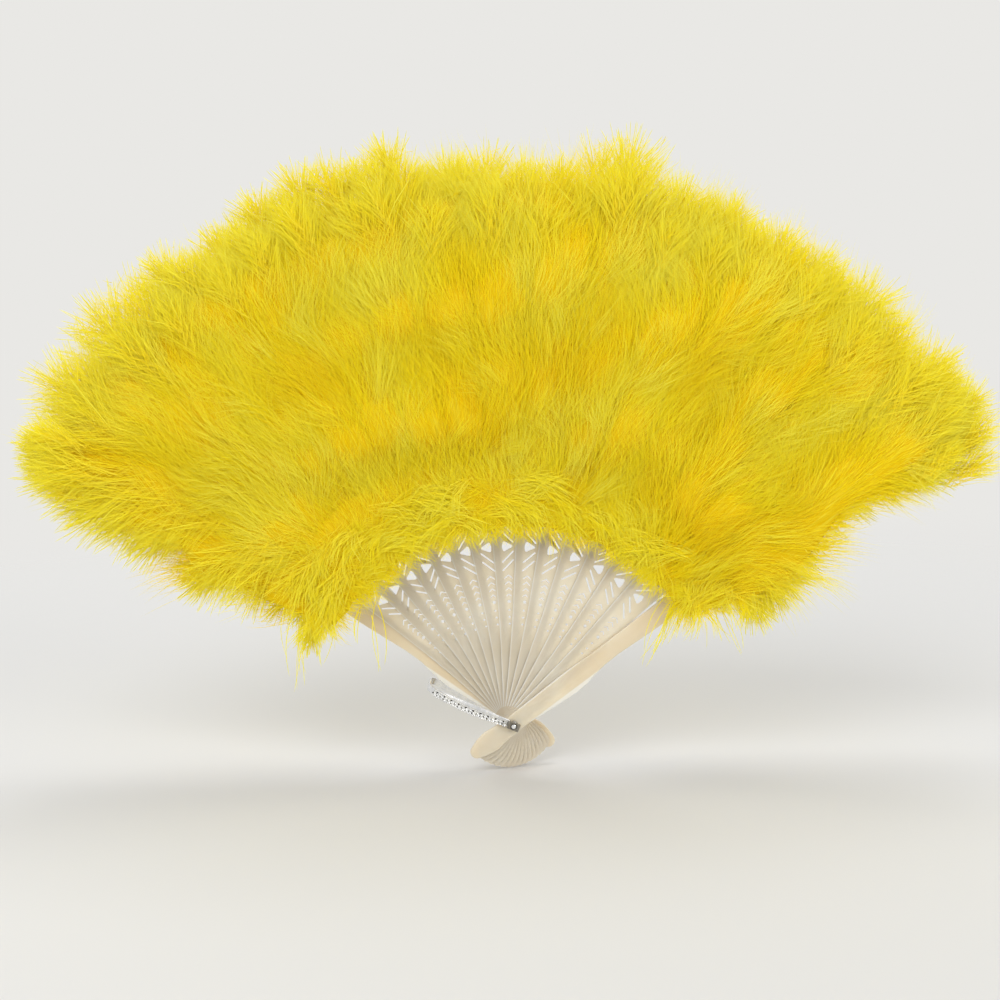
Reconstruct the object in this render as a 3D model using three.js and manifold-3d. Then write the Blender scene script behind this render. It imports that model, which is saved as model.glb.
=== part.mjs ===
// A folding fan of marabou plumes on moulded, pierced sticks, shown fully open.
// Millimetres. +Z is up along the fan's line of symmetry, +Y points away from the viewer,
// and the origin is the middle of the rivet that all the blades turn on.
import * as THREE from 'three';
import { mergeVertices } from 'three/addons/utils/BufferGeometryUtils.js';
import Module from 'manifold-3d';

const wasm = await Module();
wasm.setup();

// The fan as a whole
const stickCount = 14;
const openAngle = 106;
const openLag = 4.3;
const fitGap = 0.3;

// Sticks: the thin inner blades, measured from the rivet along the blade
const stickThickness = 0.8;
const stickLength = 120;
const stickHeadLength = 24;
const stickHeadHalfWidth = 5;
const stickNeckHalfWidth = 4.5;
const stickWaistRadius = 48;
const stickWaistHalfWidth = 5;
const stickFieldRadius = 82;
const stickFieldHalfWidth = 6.9;
const stickShoulderSetback = 16;
const stickShoulderHalfWidth = 8.2;
const tipHalfWidth = 4.2;

// Guards: the two thicker outer blades, with S-curved edges
const guardThickness = 1.6;
const guardHeadLength = 26;
const guardHeadHalfWidth = 5.4;
const guardNeckHalfWidth = 4.4;
const guardBulgeRadius = 36;
const guardBulgeInner = 4.8;
const guardBulgeOuter = 6.9;
const guardWaistRadius = 57;
const guardWaistHalfWidth = 4.2;
const guardBladeRadius = 94;
const guardBladeInner = 4.3;
const guardBladeOuter = 6;
const guardPadHeight = 0.6;
const guardPadHalfWidth = 3.9;
const guardPadLength = 14;
const guardPadRadius = 14.8;

// Piercing of each stick, from the rivet outwards
const dotRadius = 0.6;
const dotStart = 48.5;
const dotPitch = 3.45;
const dotCount = 3;
const starRadius = 0.9;
const starDistance = 59.7;
const chevronStart = 63.7;
const chevronPitch = 3.15;
const chevronCount = 4;
const chevronHalfWidth = 1.25;
const chevronWidthStep = 0.25;
const chevronThickness = 0.7;
const slotLength = 8.4;
const slotWidth = 0.8;
const slotSlant = 45;
const slotStart = 77.7;
const slotPitch = 4.2;
const triangleHeight = 5;
const triangleReach = 2.4;
const triangleDistance = 9.4;
const patternPitch = 14;
const patternEndWall = 3;
const flips = [-1, 1, -1, 1, -1, -1, -1, 1, 1, 1, 1, -1, -1, -1];

// Rivet, with its washer behind
const pinRadius = 1;
const rivetHeadRadius = 1.6;
const rivetHeadThickness = 0.6;
const washerOuterRadius = 2.6;
const washerThickness = 0.6;
const peenHeight = 0.8;
const peenRadius = 1.8;

// Bail: a flat strap bent into a U, hinged on the rivet
const strapWidth = 3.2;
const strapThickness = 0.8;
const strapEyeRadius = 2.2;
const bailReach = 45.5;
const bailCornerRadius = 5;
const bailBowDepth = 1.8;
const bailAngle = -64.8;

// Crystal in its narrow setting, on the front eye of the bail
const settingLength = 5.9;
const settingWidth = 3.8;
const settingWall = 0.6;
const crystalRadius = 1.3;
const crystalHeight = 1.2;
const cupDepth = 1.1;

// Feathers: a quill in the tip of each blade, and the plume round it
const quillWidth = 2.2;
const quillThickness = 0.8;
const quillSeatDepth = 12;
const quillLength = 140;
const quillTipWidth = 1;
const plumeInnerRadius = 95;
const plumeOuterRadius = 288;
const plumeHalfDepth = 22;
const plumeScallopDepth = 11;
const rearFringeWidth = 48;
const frontFringeWidth = 35;
const threadRadius = 0.4;
const threadSetback = 4;
const knotRadius = 0.7;
const threadTailLength = 2.2;

const degrees = THREE.MathUtils.degToRad(1);
const bladeCount = stickCount + 2;
const layerPitch = stickThickness + fitGap;
const stickStack = stickCount * layerPitch - fitGap;
const guardLayer = stickStack / 2 + fitGap + guardThickness / 2;
const stackFace = guardLayer + guardThickness / 2;
const padFace = stackFace + guardPadHeight;
const strapInnerFace = padFace + fitGap;
const strapOuterFace = strapInnerFace + strapThickness;
const rivetSeat = strapOuterFace + fitGap;
const pivotHoleRadius = pinRadius + fitGap;
const quillStart = stickLength - quillSeatDepth;
const quillEnd = quillStart + quillLength;
const threadPlace = stickLength + threadSetback;

const plastic = new THREE.MeshStandardMaterial({ color: 0xd9d2c3, roughness: 0.36, metalness: 0 });
const chrome = new THREE.MeshStandardMaterial({ color: 0xc4c5c6, roughness: 0.2, metalness: 1 });
const darkMetal = new THREE.MeshStandardMaterial({ color: 0x5d594f, roughness: 0.4, metalness: 1 });
const glass = new THREE.MeshStandardMaterial({ color: 0xf2f4f5, roughness: 0.05, metalness: 0 });
const down = new THREE.MeshStandardMaterial({ color: 0xe0c21c, roughness: 0.95, metalness: 0 });
const keratin = new THREE.MeshStandardMaterial({ color: 0xe8d877, roughness: 0.5, metalness: 0 });
const cotton = new THREE.MeshStandardMaterial({ color: 0xd8bb26, roughness: 0.9, metalness: 0 });

// Solids and surfaces

function solidOf(geometry) {
  const bare = geometry.clone();
  bare.deleteAttribute('normal');
  bare.deleteAttribute('uv');
  const merged = mergeVertices(bare, 1e-4);
  const vertProperties = new Float32Array(merged.attributes.position.array);
  const triVerts = new Uint32Array(merged.index.array);
  return new wasm.Manifold(new wasm.Mesh({ numProp: 3, vertProperties, triVerts }));
}

function surfaceOf(solid) {
  const mesh = solid.getMesh();
  const geometry = new THREE.BufferGeometry();
  const positions = new Float32Array(mesh.numVert * 3);
  for (let i = 0; i < mesh.numVert; i += 1) {
    for (let k = 0; k < 3; k += 1) {
      positions[3 * i + k] = mesh.vertProperties[i * mesh.numProp + k];
    }
  }
  geometry.setAttribute('position', new THREE.BufferAttribute(positions, 3));
  geometry.setIndex(new THREE.BufferAttribute(new Uint32Array(mesh.triVerts), 1));
  geometry.computeVertexNormals();
  return geometry;
}

// A flat plate whose outline lies in the fan's plane, from y = front to y = back
function plate(shape, front, back, curveSegments = 12) {
  const options = { depth: back - front, bevelEnabled: false, curveSegments };
  const geometry = new THREE.ExtrudeGeometry(shape, options);
  geometry.rotateX(Math.PI / 2);
  geometry.translate(0, back, 0);
  return geometry;
}

function block(xLow, xHigh, yLow, yHigh, zLow, zHigh) {
  const geometry = new THREE.BoxGeometry(xHigh - xLow, yHigh - yLow, zHigh - zLow);
  geometry.translate((xLow + xHigh) / 2, (yLow + yHigh) / 2, (zLow + zHigh) / 2);
  return geometry;
}

// The angle a blade stands at in the open fan. The blades lag a little towards the rear guard.
function bladeAngle(i) {
  const share = i / (bladeCount - 1);
  return (share - 0.5) * openAngle - openLag * Math.sin(Math.PI * share);
}

function piece(name, geometry, material) {
  const mesh = new THREE.Mesh(geometry, material);
  mesh.name = name;
  return mesh;
}

// Blades

function roundHole(place, radius, sides) {
  const hole = new THREE.Path();
  for (let i = 0; i < sides; i += 1) {
    const turn = (2 * Math.PI * i) / sides;
    const x = radius * Math.cos(turn);
    const z = place + radius * Math.sin(turn);
    if (i === 0) {
      hole.moveTo(x, z);
    } else {
      hole.lineTo(x, z);
    }
  }
  hole.closePath();
  return hole;
}

function pathHole(points) {
  const hole = new THREE.Path();
  hole.setFromPoints(points.map(([x, z]) => new THREE.Vector2(x, z)));
  hole.closePath();
  return hole;
}

function chevronHole(place, halfWidth) {
  const drop = 0.8 * halfWidth;
  return pathHole([
    [-halfWidth, place - drop],
    [0, place],
    [halfWidth, place - drop],
    [halfWidth, place - drop - chevronThickness],
    [0, place - chevronThickness],
    [-halfWidth, place - drop - chevronThickness],
  ]);
}

// A narrow slot with pointed ends, leaning one way or the other
function slotHole(place, lean) {
  const along = new THREE.Vector2(Math.cos(slotSlant * degrees), lean * Math.sin(slotSlant * degrees));
  const across = new THREE.Vector2(-along.y, along.x);
  const corners = [[-1, 0], [-0.86, 0.5], [0.86, 0.5], [1, 0], [0.86, -0.5], [-0.86, -0.5]];
  return pathHole(corners.map(([a, b]) => {
    const x = along.x * a * slotLength / 2 + across.x * b * slotWidth;
    const z = along.y * a * slotLength / 2 + across.y * b * slotWidth;
    return [x, place + z];
  }));
}

// A triangle with a bulging back and a blunt point, aimed to one side
function triangleHole(place, aim) {
  const half = triangleHeight / 2;
  return pathHole([
    [-aim * triangleReach, place - half * 0.8],
    [-aim * triangleReach * 0.7, place - half],
    [aim * triangleReach * 0.9, place - half * 0.2],
    [aim * triangleReach, place],
    [aim * triangleReach * 0.9, place + half * 0.2],
    [-aim * triangleReach * 0.7, place + half],
    [-aim * triangleReach, place + half * 0.8],
    [-aim * triangleReach * 1.15, place],
  ]);
}

function piercing(flip) {
  const holes = [];
  for (let i = 0; i < dotCount; i += 1) {
    holes.push(roundHole(dotStart + i * dotPitch, dotRadius, 6));
  }
  holes.push(roundHole(starDistance, starRadius, 6));
  for (let i = 0; i < chevronCount; i += 1) {
    holes.push(chevronHole(chevronStart + i * chevronPitch, chevronHalfWidth + i * chevronWidthStep));
  }
  const groupLength = triangleDistance + triangleHeight / 2;
  const patternEnd = quillStart - fitGap - patternEndWall;
  let lean = flip;
  for (let base = slotStart; base + groupLength <= patternEnd; base += patternPitch) {
    holes.push(slotHole(base, lean));
    holes.push(slotHole(base + slotPitch, lean));
    holes.push(triangleHole(base + triangleDistance, lean));
    lean = -lean;
  }
  return holes;
}

// One edge of a blade, as [half width, distance from the rivet] points joined by a smooth curve
function smoothEdge(points, divisions) {
  const curve = new THREE.SplineCurve(points.map(([x, z]) => new THREE.Vector2(x, z)));
  return curve.getPoints(divisions);
}

// The closed outline of a blade from its two edges, with the seat of the quill in its tip
function bladeShape(rightEdge, leftEdge, length) {
  const seatHalf = quillWidth / 2 + fitGap;
  const seatFloor = quillStart - fitGap;
  const points = [...rightEdge];
  points.push(new THREE.Vector2(seatHalf, length));
  points.push(new THREE.Vector2(seatHalf, seatFloor));
  points.push(new THREE.Vector2(-seatHalf, seatFloor));
  points.push(new THREE.Vector2(-seatHalf, length));
  for (const point of [...leftEdge].reverse().slice(0, -1)) {
    points.push(new THREE.Vector2(-point.x, point.y));
  }
  const shape = new THREE.Shape(points);
  shape.holes.push(roundHole(0, pivotHoleRadius, 12));
  return shape;
}

function stickEdge() {
  return smoothEdge([
    [0, -stickHeadLength],
    [stickHeadHalfWidth * 0.7, -stickHeadLength * 0.92],
    [stickHeadHalfWidth, -stickHeadLength * 0.64],
    [stickNeckHalfWidth * 1.04, -stickHeadLength * 0.24],
    [stickNeckHalfWidth, stickWaistRadius * 0.2],
    [stickWaistHalfWidth, stickWaistRadius],
    [stickFieldHalfWidth, stickFieldRadius],
    [stickShoulderHalfWidth, stickLength - stickShoulderSetback],
    [tipHalfWidth, stickLength],
  ], 17);
}

function stickGeometry(flip) {
  const shape = bladeShape(stickEdge(), stickEdge(), stickLength);
  shape.holes.push(...piercing(flip));
  return plate(shape, -stickThickness / 2, stickThickness / 2);
}

function guardEdge(bulge, blade) {
  return smoothEdge([
    [0, -guardHeadLength],
    [guardHeadHalfWidth * 0.56, -guardHeadLength * 0.93],
    [guardHeadHalfWidth, -guardHeadLength * 0.58],
    [guardNeckHalfWidth * 1.04, -guardHeadLength * 0.24],
    [guardNeckHalfWidth, guardBulgeRadius * 0.2],
    [bulge, guardBulgeRadius],
    [guardWaistHalfWidth, guardWaistRadius],
    [blade, guardBladeRadius],
    [tipHalfWidth, stickLength],
  ], 26);
}

// The guard of one side (1 in front at the right, -1 behind at the left), with the flat raised pad
// on the outer face of its head
function guardGeometry(side) {
  const outer = guardEdge(guardBulgeOuter, guardBladeOuter);
  const inner = guardEdge(guardBulgeInner, guardBladeInner);
  const shape = side > 0 ? bladeShape(outer, inner, stickLength) : bladeShape(inner, outer, stickLength);
  const blade = solidOf(plate(shape, -guardThickness / 2, guardThickness / 2));
  const pad = new THREE.Shape();
  pad.absellipse(0, -guardPadRadius, guardPadHalfWidth, guardPadLength / 2, 0, 2 * Math.PI, false);
  const outside = -side * (guardThickness / 2 + guardPadHeight);
  const raised = solidOf(plate(pad, Math.min(0, outside), Math.max(0, outside), 10));
  return surfaceOf(blade.add(raised));
}

// Feathers

// The flat quill, grown on every side by a margin where it cuts the room for itself in the plume
function quillGeometry(margin, start, end) {
  const half = quillWidth / 2 + margin;
  const tip = quillTipWidth / 2 + margin;
  const shape = new THREE.Shape();
  shape.moveTo(-half, start);
  shape.lineTo(half, start);
  shape.lineTo(half, start + quillLength / 2);
  shape.lineTo(tip, end);
  shape.lineTo(-tip, end);
  shape.lineTo(-half, start + quillLength / 2);
  shape.closePath();
  return plate(shape, -quillThickness / 2 - margin, quillThickness / 2 + margin);
}

// Rings of the plume: [share of its length, of its full depth, of the rear fringe, of the front fringe]
const plumeRings = [
  [0, 0.56, 0.5, 0.5],
  [0.04, 0.7, 0.68, 0.62],
  [0.12, 0.84, 0.62, 0.76],
  [0.26, 1, 0.74, 1.14],
  [0.38, 1.02, 0.88, 0.95],
  [0.49, 1, 0.68, 0.68],
  [0.6, 0.95, 0.93, 0.74],
  [0.78, 0.76, 0.97, 0.96],
  [0.91, 0.44, 0.78, 0.8],
  [1, 0.1, 0.48, 0.45],
];
const plumeAcross = [-1, -0.5, 0.5, 1];
const plumeEdgeDepth = 0.86;
const fringeEdgeDepth = 0.46;

// One plume: a crowned wedge that fills its blade's sector, with a rounded outer end. A guard's plume
// also has the fringe that stands out past the guard. Room is cut for the blades, the thread and the quill.
function plumeGeometry(side, layer, leftAngle, rightAngle) {
  const length = plumeOuterRadius - plumeInnerRadius;
  const positions = [];
  for (const [share, depthShare, rearShare, frontShare] of plumeRings) {
    const middle = plumeInnerRadius + share * length;
    const fringe = side < 0 ? rearFringeWidth * rearShare : frontFringeWidth * frontShare;
    const left = side < 0 ? fringe : middle * Math.tan(leftAngle * degrees) - fitGap / 2;
    const right = side > 0 ? fringe : middle * Math.tan(rightAngle * degrees) - fitGap / 2;
    const row = plumeAcross.map((across) => {
      const reach = across < 0 ? left : right;
      const z = middle - plumeScallopDepth * share ** 4 * across * across;
      const isFringe = across * side === 1;
      const isEdge = Math.abs(across) === 1;
      const crown = isFringe ? fringeEdgeDepth : isEdge ? plumeEdgeDepth : 1;
      return [across * reach * (z / middle), plumeHalfDepth * depthShare * crown, z];
    });
    for (const [x, y, z] of row) {
      positions.push(x, -y, z);
    }
    for (const [x, y, z] of row.reverse()) {
      positions.push(x, y, z);
    }
  }
  const count = 2 * plumeAcross.length;
  const index = [];
  for (let ring = 0; ring + 1 < plumeRings.length; ring += 1) {
    for (let i = 0; i < count; i += 1) {
      const a = ring * count + i;
      const b = ring * count + ((i + 1) % count);
      index.push(a, b, b + count, a, b + count, a + count);
    }
  }
  const last = (plumeRings.length - 1) * count;
  for (let i = 1; i + 1 < count; i += 1) {
    index.push(0, i + 1, i);
    index.push(last, last + i, last + i + 1);
  }
  const wedge = new THREE.BufferGeometry();
  wedge.setAttribute('position', new THREE.BufferAttribute(new Float32Array(positions), 3));
  wedge.setIndex(index);
  const threadFront = guardLayer + quillThickness / 2 + fitGap + threadRadius;
  const roomHalf = Math.max(stackFace, threadFront + knotRadius) + fitGap;
  const roomEnd = threadPlace + knotRadius + fitGap;
  const roomSide = plumeInnerRadius;
  const guardSide = Math.max(guardBladeOuter, quillWidth / 2 + threadTailLength + knotRadius) + 2 * fitGap;
  const roomLeft = side < 0 ? -guardSide : -roomSide;
  const roomRight = side > 0 ? guardSide : roomSide;
  const room = block(roomLeft, roomRight, -roomHalf, roomHalf, 0, roomEnd);
  const channel = quillGeometry(fitGap, quillStart, quillEnd);
  channel.translate(0, layer, 0);
  return surfaceOf(solidOf(wedge).subtract(solidOf(room)).subtract(solidOf(channel)));
}

// The thread that links the blades: an arc just in front of every quill, knotted at both ends
function threadGeometry(layers) {
  const points = [];
  const place = (turn, across, y) => new THREE.Vector3(
    threadPlace * Math.sin(turn) + across * Math.cos(turn),
    y,
    threadPlace * Math.cos(turn) - across * Math.sin(turn),
  );
  const seats = layers.map((layer) => layer - quillThickness / 2 - fitGap - threadRadius);
  const turns = layers.map((layer, i) => bladeAngle(i) * degrees);
  const tail = quillWidth / 2 + threadTailLength;
  points.push(place(turns[0], -tail, seats[0]));
  seats.forEach((seat, i) => points.push(place(turns[i], 0, seat)));
  points.push(place(turns[turns.length - 1], tail, seats[seats.length - 1]));
  const section = new THREE.Shape();
  section.absarc(0, 0, threadRadius, 0, 2 * Math.PI, false);
  const route = new THREE.CatmullRomCurve3(points, false, 'centripetal');
  const options = { extrudePath: route, steps: 3 * points.length, curveSegments: 3, bevelEnabled: false };
  let thread = solidOf(new THREE.ExtrudeGeometry(section, options));
  for (const end of [points[0], points[points.length - 1]]) {
    const knot = new THREE.IcosahedronGeometry(knotRadius, 1);
    knot.translate(end.x, end.y, end.z);
    thread = thread.add(solidOf(knot));
  }
  return surfaceOf(thread);
}

// Rivet, bail and crystal

function revolve(profile, segments) {
  return new THREE.LatheGeometry(profile.map(([r, y]) => new THREE.Vector2(r, y)), segments);
}

function rivetGeometry() {
  const peenSeat = rivetSeat + washerThickness + fitGap;
  return revolve([
    [0, -rivetSeat - rivetHeadThickness],
    [rivetHeadRadius, -rivetSeat - rivetHeadThickness],
    [rivetHeadRadius, -rivetSeat],
    [pinRadius, -rivetSeat],
    [pinRadius, peenSeat],
    [peenRadius, peenSeat],
    [peenRadius * 0.8, peenSeat + peenHeight * 0.7],
    [0, peenSeat + peenHeight],
  ], 24);
}

function washerGeometry() {
  return revolve([
    [pivotHoleRadius, rivetSeat],
    [washerOuterRadius, rivetSeat],
    [washerOuterRadius, rivetSeat + washerThickness],
    [pivotHoleRadius, rivetSeat + washerThickness],
    [pivotHoleRadius, rivetSeat],
  ], 24);
}

function bailGeometry() {
  const side = (face, corner, reach) => {
    const points = [];
    const legSteps = 6;
    for (let i = 0; i < legSteps; i += 1) {
      points.push([((reach - corner) * i) / legSteps, face]);
    }
    for (let i = 0; i <= 4; i += 1) {
      const turn = (Math.PI / 2) * (i / 4);
      points.push([reach - corner + corner * Math.sin(turn), face - corner + corner * Math.cos(turn)]);
    }
    return points;
  };
  const outer = side(strapOuterFace, bailCornerRadius, bailReach);
  const inner = side(strapInnerFace, bailCornerRadius - strapThickness, bailReach - strapThickness);
  const mirrored = (points) => [...points].reverse().map(([z, y]) => [z, -y]);
  const outline = [...outer, ...mirrored(outer), ...[...inner, ...mirrored(inner)].reverse()];
  const shape = new THREE.Shape(outline.map(([z, y]) => new THREE.Vector2(z, y)));
  const strap = new THREE.ExtrudeGeometry(shape, { depth: strapWidth, bevelEnabled: false });
  strap.translate(0, 0, -strapWidth / 2);
  const axes = new THREE.Matrix4().makeBasis(
    new THREE.Vector3(0, 0, 1),
    new THREE.Vector3(0, 1, 0),
    new THREE.Vector3(-1, 0, 0),
  );
  strap.applyMatrix4(axes);
  const corner = strap.attributes.position;
  for (let i = 0; i < corner.count; i += 1) {
    corner.setX(i, corner.getX(i) - bailBowDepth * Math.sin((Math.PI * corner.getZ(i)) / bailReach));
  }
  let bail = solidOf(strap);
  for (const end of [-1, 1]) {
    const eye = new THREE.CylinderGeometry(strapEyeRadius, strapEyeRadius, strapThickness, 20);
    eye.translate(0, (end * (strapInnerFace + strapOuterFace)) / 2, 0);
    bail = bail.add(solidOf(eye));
  }
  const through = 2 * strapOuterFace + 2;
  const hole = new THREE.CylinderGeometry(pivotHoleRadius, pivotHoleRadius, through, 20);
  return surfaceOf(bail.subtract(solidOf(hole)));
}

// The setting's frame, with a slot behind for the rivet's head and a cup in front for the crystal
function settingGeometry() {
  const back = -rivetSeat;
  const recess = rivetHeadThickness + fitGap;
  const floor = back - recess - settingWall;
  const front = floor - cupDepth;
  let frame = solidOf(block(-settingWidth / 2, settingWidth / 2, front, back, -settingLength / 2, settingLength / 2));
  const roomHalf = rivetHeadRadius + fitGap;
  const headRoom = block(-settingWidth, settingWidth, back - recess, back + recess, -roomHalf, roomHalf);
  frame = frame.subtract(solidOf(headRoom));
  const cup = new THREE.CylinderGeometry(crystalRadius + fitGap, crystalRadius + fitGap, 2 * cupDepth, 20);
  cup.translate(0, front, 0);
  return surfaceOf(frame.subtract(solidOf(cup)));
}

function crystalGeometry() {
  const seat = -rivetSeat - rivetHeadThickness - fitGap - settingWall - fitGap;
  return revolve([
    [0, seat - crystalHeight],
    [crystalRadius * 0.58, seat - crystalHeight],
    [crystalRadius, seat - crystalHeight * 0.5],
    [crystalRadius * 0.94, seat - crystalHeight * 0.3],
    [crystalRadius * 0.4, seat],
    [0, seat],
  ], 8);
}

// Assembly

const group = new THREE.Group();
const layers = [];
for (let i = 0; i < bladeCount; i += 1) {
  const isFront = i === bladeCount - 1;
  const isRear = i === 0;
  const side = Number(isFront) - Number(isRear);
  const stickName = `stick_${String(i).padStart(2, '0')}`;
  const name = isFront ? 'front_guard' : isRear ? 'rear_guard' : stickName;
  const layer = side === 0 ? ((bladeCount - 1) / 2 - i) * layerPitch : -side * guardLayer;
  layers.push(layer);
  const blade = new THREE.Group();
  blade.rotation.y = bladeAngle(i) * degrees;
  const body = side === 0 ? stickGeometry(flips[(i - 1) % flips.length]) : guardGeometry(side);
  const bladeMesh = piece(name, body, plastic);
  bladeMesh.position.y = layer;
  const quillMesh = piece(`${name}_quill`, quillGeometry(0, quillStart, quillEnd - fitGap), keratin);
  quillMesh.position.y = layer;
  const leftAngle = (bladeAngle(i) - bladeAngle(i - 1)) / 2;
  const rightAngle = (bladeAngle(i + 1) - bladeAngle(i)) / 2;
  const plume = plumeGeometry(side, layer, leftAngle, rightAngle);
  blade.add(bladeMesh, quillMesh, piece(`${name}_plume`, plume, down));
  group.add(blade);
}
group.add(piece('linking_thread', threadGeometry(layers), cotton));
group.add(piece('rivet_pin', rivetGeometry(), chrome));
group.add(piece('rear_washer', washerGeometry(), chrome));

const bail = new THREE.Group();
bail.rotation.y = bailAngle * degrees;
bail.add(piece('bail_strap', bailGeometry(), chrome));
bail.add(piece('crystal_setting', settingGeometry(), darkMetal));
bail.add(piece('crystal', crystalGeometry(), glass));
group.add(bail);

export default group;
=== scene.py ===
import math

import bmesh
import bpy
import numpy as np
from mathutils import Matrix, Quaternion, Vector


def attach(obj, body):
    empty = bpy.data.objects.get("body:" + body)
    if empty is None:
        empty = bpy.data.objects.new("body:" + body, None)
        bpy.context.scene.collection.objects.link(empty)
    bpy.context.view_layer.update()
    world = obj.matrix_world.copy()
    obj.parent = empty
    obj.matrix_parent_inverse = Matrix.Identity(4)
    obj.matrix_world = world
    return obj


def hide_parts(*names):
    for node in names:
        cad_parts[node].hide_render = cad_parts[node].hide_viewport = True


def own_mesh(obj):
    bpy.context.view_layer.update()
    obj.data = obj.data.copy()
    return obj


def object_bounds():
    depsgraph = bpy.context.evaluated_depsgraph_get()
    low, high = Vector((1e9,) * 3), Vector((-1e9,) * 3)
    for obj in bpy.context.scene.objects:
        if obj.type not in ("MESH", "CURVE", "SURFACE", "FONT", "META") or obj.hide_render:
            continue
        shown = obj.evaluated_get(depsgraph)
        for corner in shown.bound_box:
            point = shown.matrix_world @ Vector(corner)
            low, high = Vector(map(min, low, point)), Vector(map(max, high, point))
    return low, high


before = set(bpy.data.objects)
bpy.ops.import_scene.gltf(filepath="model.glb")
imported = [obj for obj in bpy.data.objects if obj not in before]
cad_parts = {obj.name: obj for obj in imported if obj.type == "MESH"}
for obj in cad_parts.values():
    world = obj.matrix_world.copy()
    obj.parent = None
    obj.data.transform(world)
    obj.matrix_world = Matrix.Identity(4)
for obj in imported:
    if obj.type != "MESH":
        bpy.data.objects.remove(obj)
cad_box = [list(corner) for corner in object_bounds()]
bpy.ops.object.select_all(action="DESELECT")
scene = bpy.context.scene
scene.view_settings.view_transform = "Standard"
MM = 0.001

# The blades as the frame has them, from the rear guard at the left to the front guard at the right
BLADES = ["rear_guard"] + [f"stick_{i:02d}" for i in range(1, 15)] + ["front_guard"]
LAST = len(BLADES) - 1
OPEN_ANGLE = 106
OPEN_LAG = 4.3
LAYER_PITCH = 1.1
GUARD_LAYER = 8.65
GUARD_FACE = 9.45
THREAD_PLACE = 124
BAIL_ANGLE = -64.8
BAIL_REACH = 45.5
BAIL_BOW = 1.8
STRAP_FACE = 11.15
RIVET_SEAT = 11.45
RIVET_HEAD = 0.6
FIT_GAP = 0.3
SETTING_WALL = 0.6
SETTING_FLOOR = RIVET_SEAT + RIVET_HEAD + FIT_GAP + SETTING_WALL
CUP_DEPTH = 1.1


def blade_angle(i):
    """The angle of a blade in the open fan, in degrees to the right of straight up."""
    share = i / LAST
    return (share - 0.5) * OPEN_ANGLE - OPEN_LAG * math.sin(math.pi * share)


def blade_layer(i):
    """How far behind the middle of the stack a blade lies, in millimetres."""
    if i == 0:
        return GUARD_LAYER
    if i == LAST:
        return -GUARD_LAYER
    return (LAST / 2 - i) * LAYER_PITCH


def linked(name, data):
    """A new object in the scene."""
    piece = bpy.data.objects.new(name, data)
    scene.collection.objects.link(piece)
    return piece


# Camera

AIM = Vector((-0.0044, 0, 0.1099))
DISTANCE = 0.75
AZIMUTH = -1.5
ELEVATION = 7.0
ROLL = -1.0
LENS = 55.3
SENSOR_WIDTH = 36


def add_camera():
    """The photograph's view: close and a little from above."""
    data = bpy.data.cameras.new("camera")
    data.sensor_fit = "HORIZONTAL"
    data.sensor_width = SENSOR_WIDTH
    data.lens = LENS
    data.clip_start = 0.01
    camera = linked("camera", data)
    across, up = math.radians(AZIMUTH), math.radians(ELEVATION)
    outward = Vector((math.sin(across) * math.cos(up), -math.cos(across) * math.cos(up), math.sin(up)))
    camera.location = AIM + outward * DISTANCE
    turn = (-outward).to_track_quat("-Z", "Y") @ Quaternion((0, 0, 1), math.radians(ROLL))
    camera.rotation_euler = turn.to_euler()
    scene.camera = camera


add_camera()

# Materials


def linear(colour):
    """An sRGB hex colour as the linear one that a shader takes."""
    parts = [int(colour[i : i + 2], 16) / 255 for i in (1, 3, 5)]
    return [p / 12.92 if p <= 0.04045 else ((p + 0.055) / 1.055) ** 2.4 for p in parts] + [1]


def add_node(tree, kind, links=(), **settings):
    """A new shader node with its own settings. Each named input gets a value, or a link from a socket or
    from the first output of a node."""
    node = tree.nodes.new(f"ShaderNode{kind}")
    for name, value in settings.items():
        setattr(node, name, value)
    for name, value in dict(links).items():
        if isinstance(value, bpy.types.Node):
            value = value.outputs[0]
        if isinstance(value, bpy.types.NodeSocket):
            tree.links.new(value, node.inputs[name])
        else:
            node.inputs[name].default_value = value
    return node


def new_material(name):
    """An empty node material and its tree."""
    material = bpy.data.materials.new(name)
    material.use_nodes = True
    material.node_tree.nodes.clear()
    return material, material.node_tree


def set_ramp(node, stops):
    """Gives a colour ramp its stops: the first, the last and then those between. Each has a place, and a
    hex colour or a plain number."""
    ramp = node.color_ramp
    for i, (place, value) in enumerate(stops):
        stop = ramp.elements[i] if i < 2 else ramp.elements.new(place)
        stop.position = place
        stop.color = linear(value) if isinstance(value, str) else (value, value, value, 1)


def material_of(name, look, *choices):
    """A material whose surface has the inputs that its look gives."""
    material, tree = new_material(name)
    surface = add_node(tree, "BsdfPrincipled", look(tree, *choices))
    add_node(tree, "OutputMaterial", {"Surface": surface})
    return material


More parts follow.
